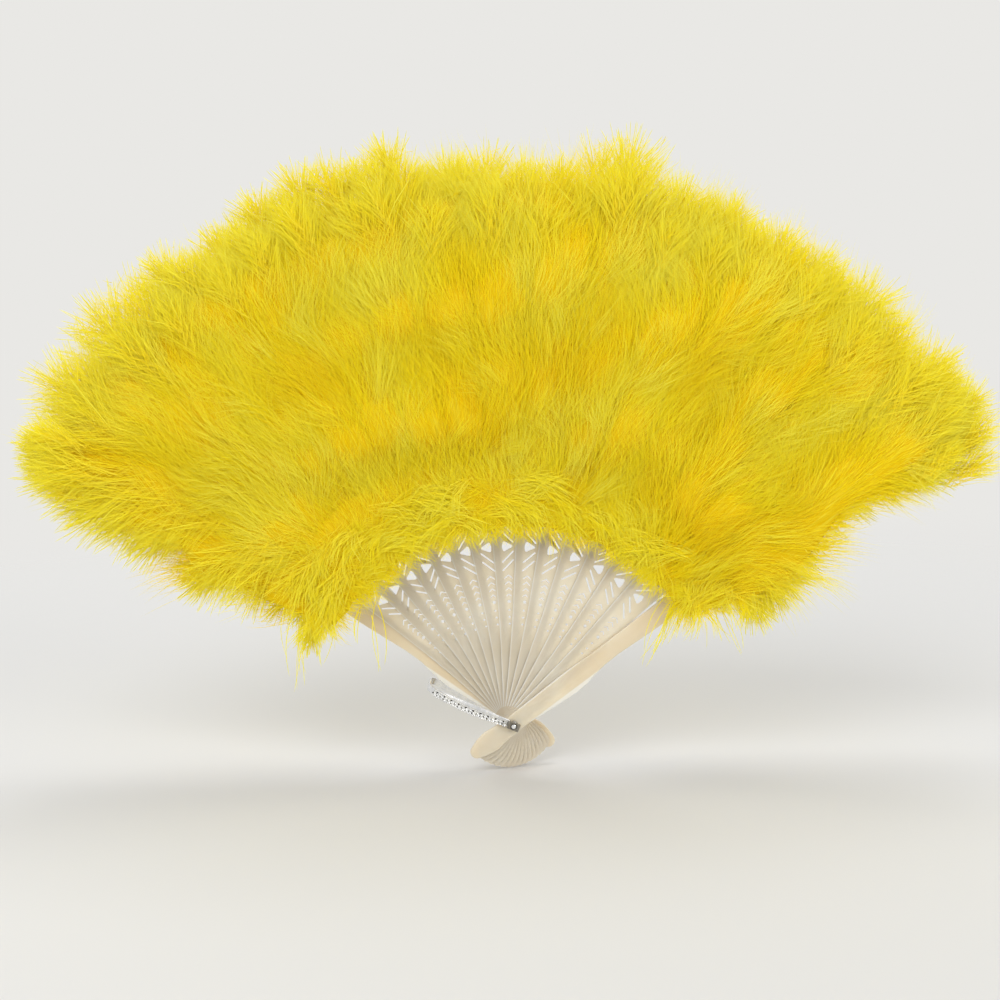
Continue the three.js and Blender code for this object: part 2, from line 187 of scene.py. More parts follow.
def milky_polypropylene(tree):
    """Moulded thin in milky polypropylene: light soaks in, the colour drifts in cream, and both edges get a
    white painted highlight.
    """
    place = add_node(tree, "TexCoord").outputs["Object"]
    # Flow clouds about 25 mm across, as the melt leaves them in thin mouldings
    cloud = add_node(tree, "TexNoise", {"Vector": place, "Scale": 40, "Detail": 3, "Roughness": 0.5})
    tint = add_node(tree, "ValToRGB", {"Fac": cloud})
    set_ramp(tint, [(0.3, "#DAC9AD"), (0.7, "#E5D8C0"), (0.5, "#DECEB4")])
    # The last half millimetre along both edges is painted paler: a painted highlight for the light that the
    # thin edges catch and let through. The ramp has half the blade's width by the distance along it, both in
    # the blade's own map.
    spot = add_node(tree, "SeparateXYZ", {"Vector": add_node(tree, "UVMap", uv_map="blade")})
    half = add_node(tree, "ValToRGB", {"Fac": spot.outputs["Y"]})
    set_ramp(half, [(0.05, 0.225), (0.8, 0.21), (0.32, 0.25), (0.547, 0.345), (0.69, 0.41)])
    side = add_node(tree, "Math", {0: spot.outputs["X"], 1: 0.5}, operation="SUBTRACT")
    out = add_node(tree, "Math", {0: side}, operation="ABSOLUTE")
    room = add_node(tree, "Math", {0: half, 1: out}, operation="SUBTRACT")
    limits = {"From Min": 0.008, "From Max": 0.034, "To Min": 0.75, "To Max": 0.0}
    fade = add_node(tree, "MapRange", {"Value": room, **limits})
    # Near the rivet and on the head there is no such painted highlight
    above = add_node(tree, "Math", {0: spot.outputs["Y"], 1: 0.045}, operation="GREATER_THAN")
    rim = add_node(tree, "Math", {0: fade, 1: above}, operation="MULTIPLY")
    shown = add_node(tree, "Mix", {"Factor": rim, "A": tint, "B": linear("#EEEBE2")}, data_type="RGBA")
    # Fine handling marks about 2 mm long change the gloss
    smear = add_node(tree, "TexNoise", {"Vector": place, "Scale": 500, "Detail": 4, "Roughness": 0.6})
    gloss = add_node(tree, "MapRange", {"Value": smear, "To Min": 0.28, "To Max": 0.44})
    # Mould sink, drawn at 6 mm so that it shows
    sink = add_node(tree, "TexNoise", {"Vector": place, "Scale": 160, "Detail": 2})
    bump = add_node(tree, "Bump", {"Height": sink, "Strength": 0.25, "Distance": 0.0002})
    return {
        "Base Color": shown.outputs["Result"],
        "Roughness": gloss,
        "IOR": 1.49,
        "Subsurface Weight": 0.6,
        "Subsurface Radius": (1.0, 0.9, 0.75),
        "Subsurface Scale": 0.005,
        "Normal": bump,
    }


def plated_metal(tree, bright, dull, smoother, rougher):
    """Metal with faint wear: its tint and its gloss drift in soft patches about 3 mm across."""
    place = add_node(tree, "TexCoord").outputs["Object"]
    wear = add_node(tree, "TexNoise", {"Vector": place, "Scale": 330, "Detail": 4, "Roughness": 0.65})
    colour = add_node(tree, "ValToRGB", {"Fac": wear})
    set_ramp(colour, [(0.35, dull), (0.6, bright)])
    shine = add_node(tree, "MapRange", {"Value": wear, "To Min": smoother, "To Max": rougher})
    return {"Base Color": colour, "Metallic": 1.0, "Roughness": shine}


def cut_glass(tree):
    """Cut glass with a mirror foil behind it: hard white facets beside dark ones, under a clear gloss."""
    place = add_node(tree, "TexCoord").outputs["Object"]
    # Dust about 1 mm across
    dust = add_node(tree, "TexNoise", {"Vector": place, "Scale": 900, "Detail": 3})
    haze = add_node(tree, "MapRange", {"Value": dust, "To Min": 0.01, "To Max": 0.07})
    return {
        "Base Color": linear("#F2F4F6"),
        "Roughness": haze,
        "Metallic": 0.85,
        "Coat Weight": 1.0,
        "Coat Roughness": 0.02,
    }


def quill_keratin(tree):
    """Dyed keratin: a smooth yellow shaft with fine streaks and a soft glow where it is thin."""
    place = add_node(tree, "TexCoord").outputs["Object"]
    streak = add_node(tree, "TexNoise", {"Vector": place, "Scale": 700, "Detail": 3, "Distortion": 0.6})
    colour = add_node(tree, "ValToRGB", {"Fac": streak})
    set_ramp(colour, [(0.35, "#D8C148"), (0.65, "#EADB7E")])
    return {
        "Base Color": colour,
        "Roughness": 0.42,
        "IOR": 1.54,
        "Subsurface Weight": 0.2,
        "Subsurface Radius": (1.0, 0.8, 0.3),
        "Subsurface Scale": 0.002,
    }


def cotton_thread(tree):
    """Two-ply dyed cotton: matt, with paler and darker fuzz along the plies."""
    place = add_node(tree, "TexCoord").outputs["Object"]
    fuzz = add_node(tree, "TexNoise", {"Vector": place, "Scale": 4000, "Detail": 2})
    colour = add_node(tree, "ValToRGB", {"Fac": fuzz})
    set_ramp(colour, [(0.3, "#B99A12"), (0.7, "#E6D05A")])
    return {"Base Color": colour, "Roughness": 0.92, "Sheen Weight": 0.3}


# Dyed down is matt, and the light is scattered so evenly between its barbs that shadows stay yellow.
# The deeper gold at the barbs' roots and in the packed down is painted shade.
MATT_DOWN = {"Roughness": 0.75, "Specular IOR Level": 0.06}


def down_barbs(tree):
    """Golden at the root as painted shade deep in the down, clear yellow along the barb and pale where the
    tip thins out.
    """
    along = add_node(tree, "Attribute", attribute_name="along")
    tone = add_node(tree, "Attribute", attribute_name="tone")
    length_ramp = add_node(tree, "ValToRGB", {"Fac": along.outputs["Fac"]})
    # The golden first stop is painted shade, where the barbs lie deep in the down
    set_ramp(length_ramp, [(0.0, "#FFDA0A"), (1.0, "#FEF660"), (0.45, "#FFEC1C"), (0.8, "#FFF034")])
    tone_ramp = add_node(tree, "ValToRGB", {"Fac": tone.outputs["Fac"]})
    set_ramp(tone_ramp, [(0.0, "#F8C804"), (1.0, "#FEFA64"), (0.5, "#FFEC1C")])
    colour = add_node(tree, "Mix", {"Factor": 0.5, "A": length_ramp, "B": tone_ramp}, data_type="RGBA")
    return {"Base Color": colour.outputs["Result"], **MATT_DOWN}


def packed_down(tree):
    """Close-packed barbs: streaks about 1 mm wide and 25 mm long that run out from the rivet, in a deeper
    gold that is painted shade.
    """
    place = add_node(tree, "TexCoord").outputs["Object"]
    parts = add_node(tree, "SeparateXYZ", {"Vector": place}).outputs
    angle = add_node(tree, "Math", {0: parts["X"], 1: parts["Z"]}, operation="ARCTAN2")
    reach = add_node(tree, "VectorMath", {0: place}, operation="LENGTH")
    around = add_node(tree, "Math", {0: angle, 1: 170.0}, operation="MULTIPLY")
    outward = add_node(tree, "Math", {0: reach.outputs["Value"], 1: 40.0}, operation="MULTIPLY")
    depth = add_node(tree, "Math", {0: parts["Y"], 1: 300.0}, operation="MULTIPLY")
    spot = add_node(tree, "CombineXYZ", {"X": around, "Y": depth, "Z": outward})
    grain = {"Scale": 1.0, "Detail": 5, "Roughness": 0.62, "Distortion": 1.8}
    streak = add_node(tree, "TexNoise", {"Vector": spot, **grain})
    # Deeper and more golden than the loose barbs: painted shade for the down that lies under them
    colour = add_node(tree, "ValToRGB", {"Fac": streak})
    set_ramp(colour, [(0.3, "#EABB06"), (0.72, "#F6E03C"), (0.5, "#F0CC10")])
    bump = add_node(tree, "Bump", {"Height": streak, "Strength": 0.7, "Distance": 0.0012})
    return {"Base Color": colour, "Normal": bump, **MATT_DOWN}


PLASTIC = material_of("moulded_milky_polypropylene", milky_polypropylene)
CHROME = material_of("chrome_plated_steel", plated_metal, "#F3F3F2", "#DCDDDE", 0.12, 0.28)
# Dark metal for the strap's pits: painted shade in the hollows of its relief
PIT_SHADE = material_of("painted_shade_pits", plated_metal, "#4A4742", "#2E2B28", 0.38, 0.55)
PEWTER = material_of("antiqued_pewter", plated_metal, "#A6A196", "#716C62", 0.26, 0.42)
GLASS = material_of("foil_backed_cut_glass", cut_glass)
KERATIN = material_of("dyed_quill_keratin", quill_keratin)
COTTON = material_of("dyed_cotton_thread", cotton_thread)
DOWN = material_of("dyed_marabou_down", down_barbs)
PACKED = material_of("packed_marabou_down", packed_down)

# Mesh helpers


def activate(piece):
    """Selects one object alone."""
    bpy.ops.object.select_all(action="DESELECT")
    piece.select_set(True)
    bpy.context.view_layer.objects.active = piece


def settle(piece, matrix=None):
    """Puts the object's own place, and then the given one, into its mesh."""
    piece.data.transform(piece.matrix_basis)
    piece.matrix_basis = Matrix.Identity(4)
    if matrix is not None:
        piece.data.transform(matrix)
    piece.data.update()


def smooth(piece, angle):
    """Smooth shading that keeps edges sharper than the angle."""
    activate(piece)
    bpy.ops.object.shade_smooth_by_angle(angle=math.radians(angle))


def dress(piece, material, slot, body, *nodes):
    """Gives a finished piece its material, its body and the nodes that it stands for. The slot is not used.
    """
    piece.data.materials.clear()
    piece.data.materials.append(material)
    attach(piece, body)
    if nodes:
        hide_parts(*nodes)


def joined(pieces, name):
    """One object from several."""
    bpy.ops.object.select_all(action="DESELECT")
    for piece in pieces:
        piece.select_set(True)
    bpy.context.view_layer.objects.active = pieces[0]
    bpy.ops.object.join()
    pieces[0].name = name
    return pieces[0]


def turned(points, theta):
    """Points of a blade's own frame, where Z runs along the blade, in the fan's frame."""
    turn = math.radians(theta)
    world = points.copy()
    world[..., 0] = points[..., 0] * math.cos(turn) + points[..., 2] * math.sin(turn)
    world[..., 2] = -points[..., 0] * math.sin(turn) + points[..., 2] * math.cos(turn)
    return world


def turn_mesh(mesh, theta):
    """Turns a mesh about the rivet's axis."""
    points = np.zeros(3 * len(mesh.vertices))
    mesh.vertices.foreach_get("co", points)
    mesh.vertices.foreach_set("co", turned(points.reshape(-1, 3), theta).ravel())
    mesh.update()


def merged_copy(node, name, theta=0, whole=True):
    """A copy of a node's mesh, turned upright, with its triangles joined and, if asked, flat faces whole."""
    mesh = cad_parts[node].data.copy()
    mesh.name = name
    turn_mesh(mesh, -theta)
    piece = linked(name, mesh)
    mesh.materials.clear()
    shell = bmesh.new()
    shell.from_mesh(mesh)
    bmesh.ops.remove_doubles(shell, verts=shell.verts, dist=2e-6)
    if whole:
        bmesh.ops.dissolve_limit(shell, angle_limit=math.radians(1), verts=shell.verts, edges=shell.edges)
    shell.to_mesh(mesh)
    shell.free()
    return piece


def round_edges(piece, width, segments, angle=32):
    """Edges rounded over, as the mould leaves them."""
    bevel = piece.modifiers.new("edge", "BEVEL")
    bevel.width = width * MM
    bevel.segments = segments
    bevel.limit_method = "ANGLE"
    bevel.angle_limit = math.radians(angle)
    bevel.use_clamp_overlap = True
    activate(piece)
    bpy.ops.object.modifier_apply(modifier=bevel.name)


def rounded_copy(node, name, width, segments, angle=32):
    """A merged copy of a node with rounded edges."""
    piece = merged_copy(node, name)
    round_edges(piece, width, segments, angle)
    smooth(piece, 28)
    return piece


def solid_from(shell, name):
    """An object from a shell that has all its faces."""
    bmesh.ops.recalc_face_normals(shell, faces=shell.faces)
    mesh = bpy.data.meshes.new(name)
    shell.to_mesh(mesh)
    shell.free()
    return linked(name, mesh)


def tube(points, radius, name, fineness):
    """A round wire along points in millimetres, as a closed mesh."""
    curve = bpy.data.curves.new(name, "CURVE")
    curve.dimensions = "3D"
    curve.bevel_depth = radius * MM
    curve.bevel_resolution = fineness
    curve.use_fill_caps = True
    line = curve.splines.new("POLY")
    line.points.add(len(points) - 1)
    for point, place in zip(line.points, points):
        point.co = (*(value * MM for value in place), 1)
    activate(linked(name, curve))
    bpy.ops.object.convert(target="MESH")
    wire = bpy.context.view_layer.objects.active
    shell = bmesh.new()
    shell.from_mesh(wire.data)
    bmesh.ops.remove_doubles(shell, verts=shell.verts, dist=1e-6)
    bmesh.ops.recalc_face_normals(shell, faces=shell.faces)
    shell.to_mesh(wire.data)
    shell.free()
    return wire


# Sticks and guards

DOTS = [(48.5, 0.6), (51.95, 0.6), (55.4, 0.6), (59.7, 0.9)]


def round_dots(mesh):
    """The small holes of the node have six sides, and here each gets twelve."""
    shell = bmesh.new()
    shell.from_mesh(mesh)
    for place, radius in DOTS:
        sides = []
        for edge in shell.edges:
            low, high = (Vector((v.co.x / MM, v.co.z / MM - place)) for v in edge.verts)
            flat = abs(edge.verts[0].co.y - edge.verts[1].co.y) < 1e-5
            if flat and abs(low.length - radius) < 0.1 and abs(high.length - radius) < 0.1:
                sides.append(edge)
        bmesh.ops.subdivide_edges(shell, edges=sides, cuts=1)
        for vertex in shell.verts:
            arm = Vector((vertex.co.x, vertex.co.z - place * MM))
            if arm.length < 0.93 * radius * MM:
                arm = arm.normalized() * radius * MM
                vertex.co.x, vertex.co.z = arm.x, place * MM + arm.y
    shell.to_mesh(mesh)
    shell.free()


MAP_WIDTH = 20
MAP_LENGTH = 150


def map_blade(mesh):
    """The upright blade's own map: across from 0 to 1 in its width, and along in its length."""
    points = np.zeros(3 * len(mesh.vertices))
    mesh.vertices.foreach_get("co", points)
    points = points.reshape(-1, 3) / MM
    corners = np.zeros(len(mesh.loops), dtype=np.int32)
    mesh.loops.foreach_get("vertex_index", corners)
    flat = np.stack([points[corners, 0] / MAP_WIDTH + 0.5, points[corners, 2] / MAP_LENGTH], axis=1)
    mesh.uv_layers.new(name="blade").data.foreach_set("uv", flat.astype(np.float32).ravel())


def soften_pad(mesh):
    """The flat oval on a guard's head as a low swell that runs out softly."""
    for vertex in mesh.vertices:
        if abs(vertex.co.y) > GUARD_FACE * MM + 1e-4:
            vertex.co.y = math.copysign((GUARD_FACE + 0.14) * MM, vertex.co.y)
            vertex.co.x *= 0.55
            vertex.co.z += 0.45 * (-14.8 * MM - vertex.co.z)


for i, name in enumerate(BLADES):
    is_guard = i in (0, LAST)
    blade = merged_copy(name, f"{name}_moulding", blade_angle(i), is_guard)
    if is_guard:
        soften_pad(blade.data)
        round_edges(blade, 0.55, 3)
        smooth(blade, 40)
    else:
        round_dots(blade.data)
        round_edges(blade, 0.13, 2, 50)
        smooth(blade, 30)
    map_blade(blade.data)
    turn_mesh(blade.data, blade_angle(i))
    dress(blade, PLASTIC, "stick_plastic", f"{name}_blade", name)
    shaft = rounded_copy(f"{name}_quill", f"{name}_shaft", 0.3, 2)
    dress(shaft, KERATIN, "quill", f"{name}_blade", f"{name}_quill")

# Plumes

SOIL = np.random.default_rng(77)
WAVES = []
for channel in range(4):
    for _ in range(8):
        turn = SOIL.uniform(0, 2 * math.pi)
        rate = 2 * math.pi / SOIL.uniform(38, 105)
        WAVES.append((channel, math.cos(turn) * rate, math.sin(turn) * rate, SOIL.uniform(0, 2 * math.pi)))


def unit(vectors):
    """The vectors at length one."""
    return vectors / np.maximum(np.linalg.norm(vectors, axis=-1, keepdims=True), 1e-9)


def drift(points, theta, channel):
    """A smooth random value from about -1 to 1 at each place in the fan, the same for every blade."""
    world = turned(points, theta)
    value = np.zeros(world.shape[:-1])
    for own, across, up, phase in WAVES:
        if own == channel:
            value += np.sin(world[..., 0] * across + world[..., 2] * up + phase)
    return np.tanh(value / 2.4)


STRAND_FLATNESS = 0.45


def strand_arrays(rng, barbs, places, taper=0.7):
    """Points, faces, values and material slot of curved, tapering, closed strands with a flat three-sided
    section. The places are those of the rings along a strand, from 0 to 1."""
    root, first, last, lengths, radii, tones = barbs
    count, rings = len(root), len(places)
    size = 3 * rings + 1
    t = np.append(places, 1.0)[None, :, None]
    bend = t * first[:, None] + 0.5 * t**2 * (last - first)[:, None]
    path = root[:, None] + lengths[:, None, None] * bend
    heading = unit(first[:, None] * (1 - t) + last[:, None] * t)
    out = np.zeros((count, 1, 3))
    out[:, 0, 1] = np.where(root[:, 1] < 0, -1.0, 1.0)
    level = unit(np.cross(heading, unit(out + rng.normal(0, 0.3, (count, 1, 3)))))
    other = np.cross(heading, level)
    turns = 2 * math.pi * np.arange(3) / 3 - math.pi / 2
    rim = np.cos(turns)[:, None] * level[:, :rings, None]
    rim = rim + STRAND_FLATNESS * np.sin(turns)[:, None] * other[:, :rings, None]
    width = (radii[:, None] * (1 - taper * np.array(places) ** 1.6))[:, :, None, None]
    shell = path[:, :rings, None] + width * rim
    points = np.concatenate([shell.reshape(count, 3 * rings, 3), path[:, rings:]], axis=1)
    quads = [
        (3 * k + j, 3 * k + (j + 1) % 3, 3 * k + 3 + (j + 1) % 3, 3 * k + 3 + j)
        for k in range(rings - 1)
        for j in range(3)
    ]
    end = 3 * rings - 3
    triangles = [(0, 2, 1)] + [(end + j, end + (j + 1) % 3, size - 1) for j in range(3)]
    start = (size * np.arange(count))[:, None, None]
    return (
        points.reshape(-1, 3),
        (start + np.array(quads)).reshape(-1, 4),
        (start + np.array(triangles)).reshape(-1, 3),
        np.tile(np.append(np.repeat(places, 3), 1.0), count),
        np.repeat(tones, size),
        0,
    )


def lumps(points, theta):
    """How much deeper or shallower than average the dense down is at a place."""
    return 1 + 0.16 * drift(points, theta, 3)


HEART_SQUARENESS = 0.42


def heart(own, stations, near, far, around=32):
    """A dense, softly lumpy closed body of down, in the form that strand_arrays gives. Near and far are the
    places of its two faces at each station."""
    turn = 2 * math.pi * (np.arange(around) + 0.5) / around
    across = np.sign(np.cos(turn)) * np.abs(np.cos(turn)) ** HEART_SQUARENESS
    deep = np.sign(np.sin(turn)) * np.abs(np.sin(turn)) ** HEART_SQUARENESS
    points = np.zeros((len(stations), around, 3))
    points[..., 0] = own.across(across[None], stations[:, None])
    points[..., 2] = stations[:, None]
    middle = 0.5 * (near + far)[:, None]
    half = 0.5 * (far - near)[:, None]
    points[..., 1] = middle + deep[None] * half * lumps(points, own.theta)
    points = points.reshape(-1, 3)
    ends = [[0, float(middle[0, 0]), stations[0] - 1.5], [0, float(middle[-1, 0]), stations[-1] + 2.5]]
    points = np.concatenate([points, ends])
    low = len(stations) * around
    last = low - around
    quads, triangles = [], []
    for j in range(around):
        after = (j + 1) % around
        quads += [(k + j, k + after, k + around + after, k + around + j) for k in range(0, last, around)]
        triangles += [(low, after, j), (low + 1, last + j, last + after)]
    along, tone = np.full(len(points), 0.3), np.full(len(points), 0.45)
    return points, np.array(quads), np.array(triangles), along, tone, 1


FREE_DEPTH = 25
LAST_DEPTH = 33


def mesh_from(name, parts, theta):
    """One mesh object from several sets of points and faces in a blade's own frame. Past the free depth from
    the middle of the fan the barbs lie down, softly and so that none passes the last depth."""
    points = np.concatenate([part[0] for part in parts])
    depth = np.abs(points[:, 1])
    span = LAST_DEPTH - FREE_DEPTH
    eased = FREE_DEPTH + span * np.tanh((depth - FREE_DEPTH) / span)
    points[:, 1] = np.sign(points[:, 1]) * np.where(depth > FREE_DEPTH, eased, depth)
    world = turned(points * MM, theta)
    shift = np.cumsum([0] + [len(part[0]) for part in parts[:-1]])
    quads, triangles = (np.concatenate([p[k] + move for p, move in zip(parts, shift)]) for k in (1, 2))
    mesh = bpy.data.meshes.new(name)
    mesh.vertices.add(len(world))
    mesh.vertices.foreach_set("co", world.astype(np.float32).ravel())
    corners = np.concatenate([quads.ravel(), triangles.ravel()]).astype(np.int32)
    starts = np.concatenate([4 * np.arange(len(quads)), 4 * len(quads) + 3 * np.arange(len(triangles))])
    slots = np.concatenate([np.full(len(part[k]), part[5]) for k in (1, 2) for part in parts])
    mesh.loops.add(len(corners))
    mesh.loops.foreach_set("vertex_index", corners)
    mesh.polygons.add(len(starts))
    mesh.polygons.foreach_set("loop_start", starts.astype(np.int32))
    mesh.polygons.foreach_set("use_smooth", slots == 1)
    for label, k in (("along", 3), ("tone", 4)):
        values = np.concatenate([part[k] for part in parts]).astype(np.float32)
        mesh.attributes.new(label, "FLOAT", "POINT").data.foreach_set("value", values)
    mesh.update(calc_edges=True)
    mesh.validate()
    return linked(name, mesh), slots.astype(np.int32)


def heading_of(turn, lift, face):
    """Unit vectors at a turn from the blade's axis and a lift off the fan's face."""
    flat = np.cos(lift)
    return np.stack([np.sin(turn) * flat, face * np.sin(lift), np.cos(turn) * flat], axis=-1)


def tufts(rng, roots, turn, lifts, curl, length, tone, face, count, spread=0.24, scatter=2.4, radius=0.115):
    """Barbs in tufts: each tuft has a root and a heading, and its barbs part a little and curl as one."""
    own = np.repeat(np.arange(len(roots)), count)
    total = len(own)
    fan = rng.normal(0, spread, total)
    closing = rng.uniform(0.15, 1.15, len(roots))[own]
    root = roots[own] + rng.normal(0, 1, (total, 3)) * np.array([scatter, 0.5, scatter])
    first = heading_of(turn[own] + fan, lifts[0][own] + rng.normal(0, 0.07, total), face)
    last_turn = turn[own] + fan * closing + curl[own] + rng.normal(0, 0.07, total)
    last = heading_of(last_turn, lifts[1][own] + rng.normal(0, 0.07, total), face)
    lengths = length[own] * rng.uniform(0.7, 1.08, total)
    radii = radius * rng.uniform(0.75, 1.25, total)
    tones = np.clip(tone[own] + rng.normal(0, 0.07, total), 0, 1)
    return [root, first, last, lengths, radii, tones]


def lobe(rng, tip, turn, size, count, bold, flare=1.0, sag=None):
    """A rounded feather end: barbs leave the last of the shaft and open like a fountain onto a dome.
    Bold barbs reach the dome one by one, and the fine ones fill it below."""
    axis = heading_of(turn, 0.0, 1.0)
    level = np.array([math.cos(turn), 0.0, -math.sin(turn)])
    middle = tip - size * axis
    opening = np.radians(rng.uniform(-66, 66, count) if bold else rng.uniform(-84, 84, count))
    tilt = rng.normal(0, 0.3, count)
    dome = np.cos(opening)[:, None] * axis + flare * np.sin(opening)[:, None] * level
    dome = np.cos(tilt)[:, None] * dome + np.sin(tilt)[:, None] * np.array([0.0, 1.0, 0.0])
    reach = size * (rng.uniform(0.86, 1.12, count) if bold else 0.92 - np.abs(rng.normal(0, 0.15, count)))
    end = middle + reach[:, None] * dome
    low = -0.1 - 0.75 * np.abs(opening) + rng.normal(0, 0.14 if bold else 0.32, count)
    root = middle + (size * low)[:, None] * axis + size * rng.normal(0, 0.05 if bold else 0.17, (count, 3))
    chord = end - root
    lengths = np.linalg.norm(chord, axis=1)
    way = chord / lengths[:, None]
    first = unit(way + (0.5 * np.abs(np.sin(opening)))[:, None] * axis + rng.normal(0, 0.08, (count, 3)))
    last = unit(2 * way - first)
    if sag is not None:
        last = unit(last + sag)
    radii = rng.uniform(0.2, 0.3, count) if bold else rng.uniform(0.12, 0.18, count)
    tones = np.clip((0.86 if bold else 0.72) + rng.normal(0, 0.1, count), 0, 1)
    return [root, first, last, lengths, radii, tones]


def hanging(rng, strays, theta):
    """Loose barbs, three to each place, that droop and bow on their way down."""
    spots = np.repeat(np.array(strays, dtype=float), 3, axis=0)
    count = len(spots)
    spots += rng.normal(0, 1.6, spots.shape)
    depth = rng.uniform(-15, -10, count)
    root = turned(np.stack([spots[:, 0], depth, spots[:, 1]], axis=1), -theta)
    end = turned(np.stack([spots[:, 2], depth + rng.normal(0, 2, count), spots[:, 3]], axis=1), -theta)
    chord = end - root
    lengths = np.linalg.norm(chord, axis=1)
    way = chord / lengths[:, None]
    across = np.cross(way, np.array([0.0, 1.0, 0.0]))
    first = unit(way + rng.normal(0, 0.45, count)[:, None] * across)
    radii, tones = rng.uniform(0.2, 0.3, count), rng.uniform(0.6, 1.0, count)
    return [root, first, unit(2 * way - first), lengths, radii, tones]


def gathered(groups):
    """Several sets of barbs as one."""
    return [np.concatenate(parts) for parts in zip(*groups)]


# Feather ends round the rim: [angle from straight up, reach from the rivet, size]
RIM_LOBES = [
    (-59, 279, 14), (-52, 291, 20), (-43.5, 297, 20), (-36.5, 289, 16), (-30.5, 286, 15), (-25.3, 290, 14),
    (-20.8, 293, 15), (-15.5, 288, 14.5), (-12, 291, 15), (-6.5, 281, 16), (-1, 285, 18), (5.5, 276, 15),
    (12.2, 297, 19), (18.8, 279, 16), (24, 279, 15), (29.3, 278, 15), (34.7, 282, 16), (42, 283, 19),
    (50.7, 286, 18), (55.3, 286, 15), (59, 277, 14),
]
# Those nearer than this angle open wider by this much
WIDE_ANGLE = 55
WIDE_FLARE = 1.28
# Feather ends beside the guards: [distance along the guard, how far out, turn outward, size]
SIDE_LOBES = {
    -1: [
        (103, 34, 104, 10), (112, 27, 94, 14), (128, 31, 84, 16), (146, 38, 76, 19), (165, 45, 70, 20),
        (176, 43, 60, 15), (190, 37, 62, 14), (204, 46, 62, 17), (221, 48, 55, 19), (238, 50, 47, 20),
        (254, 46, 38, 19), (268, 40, 27, 17), (279, 27, 12, 15),
    ],
    1: [
        (104, 17, 116, 10), (116, 24, 102, 13), (127, 44, 96, 13), (139, 44, 86, 15), (152, 42, 74, 16),
        (165, 37, 62, 15), (179, 28, 50, 14), (195, 26, 44, 14), (212, 26, 42, 14), (229, 31, 38, 15),
        (243, 34, 32, 16), (256, 37, 26, 16), (264, 33, 20, 15), (271, 25, 13, 15), (276, 15, 6, 14),
    ],
}
# Layers of the rim's ends: [place in the depth, how far they stop short, turn aside, fine barbs, bold barbs]
RIM_LAYERS = [
    (-1.5, 0, 0, 200, 34), (-8, 5, 2.4, 172, 9), (-15, 17, -1, 150, 3), (8, 5, -2.3, 140, 18),
    (15, 18, 1, 110, 10),
]
# Layers of the ends beside the guards: the same without the turn
SIDE_LAYERS = [(-1, 0, 124, 28), (-9, 4, 94, 8), (-17, 11, 82, 3), (9, 5, 66, 11), (17, 12, 56, 7)]
# How strongly those ends sag
SAG = 0.2
# Depth of the dense down on each side of the blades, by the distance from the rivet
DEPTH_PLACES = [124, 136, 150, 200, 235, 252, 262]
DEPTHS = [13.5, 18, 21, 20.5, 16.5, 11, 5]
HEART_STATIONS = np.concatenate([np.linspace(126, 242, 30), [246, 250, 254, 258, 261]])
# The skirt of dense down over the ends of the blades, on each side of them
SKIRT_STATIONS = np.linspace(100, 136, 10)
SKIRT_FACES = (10.8, 16.5)
# How far the skirt and the curls on it shift with their blade's layer
SKIRT_SHIFT = 0.2
# How far the dense down goes past the guards' own axes
GUARD_PLACES = [100, 126, 150, 170, 188, 205, 240, 262]
GUARD_WIDTHS = {-1: [10, 17, 23, 28, 20, 30, 30, 16], 1: [8, 19, 26, 20, 13, 14, 19, 11]}
# Half a stick's share of the fan, and how far the down of two sticks overlaps
HALF_SHARE = math.tan(math.radians(3.55))
OVERLAP = 2.6
# Single barbs that hang below the guards: [start across and up, end across and up], from the rivet
STRAYS = {
    -1: [
        (-67, 60, -63, 28), (-72, 60, -75, 43), (-86, 62, -93, 31), (-97, 72, -107, 21), (-96, 72, -102, 24),
        (-105, 66, -105, 31),
    ],
    1: [
        (80, 66, 63, 28), (81, 66, 65, 31), (82, 66, 70, 35), (81, 64, 72, 38), (84, 64, 75, 40),
        (86, 64, 80, 42), (96, 64, 111, 31), (94, 64, 108, 38), (118, 84, 125, 48),
    ],
}
# Each face of a plume: [the way it faces, tufts, barbs in a tuft, collar tufts, ringlets]
FACES = [(-1, 124, 32, 34, 11), (1, 96, 25, 24, 7)]
# A guard's plume is wider and has this many more tufts
GUARD_TUFTS = 1.15
# The tufts' distances, and the two steps whose multiples spread them evenly but in no rows
TUFTS_FROM, TUFTS_TO = 106, 257
EVEN_STEPS = (0.7548776662, 0.5698402910)
WISP_SHARE = 0.1
# The distances where collar tufts and ringlets start, and where they end at the latest
COLLAR_FROM, COLLAR_TO, COLLAR_END = 99, 124, 89
RINGLETS_FROM, RINGLETS_TO, RINGLETS_END = 104, 128, 84
# The rings along a fine, a long and a hanging strand, from 0 to 1
FINE_RINGS = (0.0, 0.64)
LONG_RINGS = (0.0, 0.5, 0.93)
HANGING_RINGS = tuple(np.linspace(0, 0.94, 9))


def depth_at(distance):
    """How deep the dense down lies in front of the blades and behind them."""
    return np.interp(distance, DEPTH_PLACES, DEPTHS)


